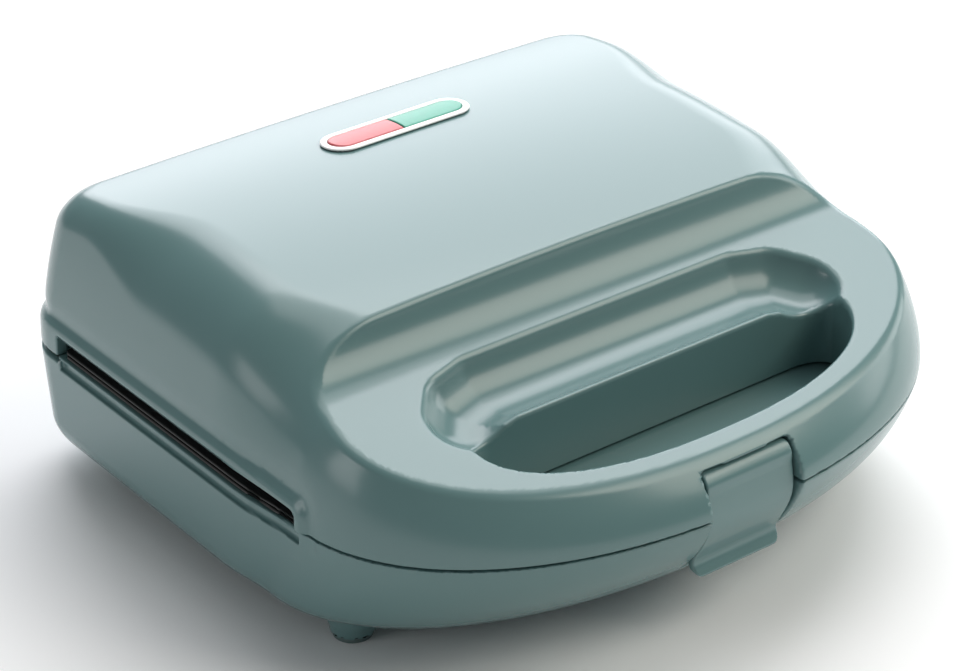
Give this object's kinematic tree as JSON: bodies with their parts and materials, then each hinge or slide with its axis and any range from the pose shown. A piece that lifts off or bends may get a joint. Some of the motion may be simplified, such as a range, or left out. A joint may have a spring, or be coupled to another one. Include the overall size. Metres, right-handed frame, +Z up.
{
  "type": "sandwich toaster",
  "caption": "Sandwich toaster with a hinged domed lid, front handle opening, finger recess, swinging front latch, red and green indicator lights and non-stick plates with triangular pockets.",
  "frame": {"origin": "bottom centre of the closed toaster, between the rubber pads", "axes": "+Z up, -Y towards the handle and latch, +X towards the green light"},
  "size_m": [0.23, 0.2202, 0.1006],
  "materials": {
    "shell": "glossy moulded plastic, grey-green",
    "non_stick": "black non-stick coating on cast aluminium",
    "rubber": "matt",
    "steel": "plain steel",
    "sheet": "aluminium-coated sheet",
    "ceramic": "heat-proof white moulding",
    "bezel": "glossy white",
    "red_lens": "translucent salmon red",
    "green_lens": "translucent aqua green",
    "lamp": "small neon tube",
    "wire": "heat-proof sleeving"
  },
  "bodies": {
    "base": {"base_shell": "shell", "foot_pads": "rubber", "lower_plate": "non_stick", "lower_plate_screws": "steel", "lower_reflector": "sheet", "lower_element": "steel", "thermostat": "ceramic", "thermal_fuse": "steel", "terminal_block": "ceramic", "base_wires": "wire", "cord_grommet": "rubber", "hinge_brackets": "steel", "hinge_bracket_screws": "steel", "hinge_pins": "steel"},
    "lid": {"lid_shell": "shell", "upper_plate": "non_stick", "upper_plate_screws": "steel", "upper_reflector": "sheet", "upper_element": "steel", "hinge_arms": "steel", "hinge_arm_screws": "steel", "indicator_bezel": "bezel", "red_lens": "red_lens", "green_lens": "green_lens", "lamp_holder": "ceramic", "neon_lamps": "lamp", "lid_wires": "wire", "latch_pin": "steel"},
    "latch": {"latch": "shell"}
  },
  "joints": [
    {"name": "lid_hinge", "type": "hinge", "parent": "base", "child": "lid", "pos_m": [0, 0.105, 0.05], "axis": [-1, 0, 0], "range_deg": [0, 100]},
    {"name": "latch_swing", "type": "hinge", "parent": "lid", "child": "latch", "pos_m": [0, -0.1013, 0.0532], "axis": [-1, 0, 0], "range_deg": [0, 50]}
  ]
}
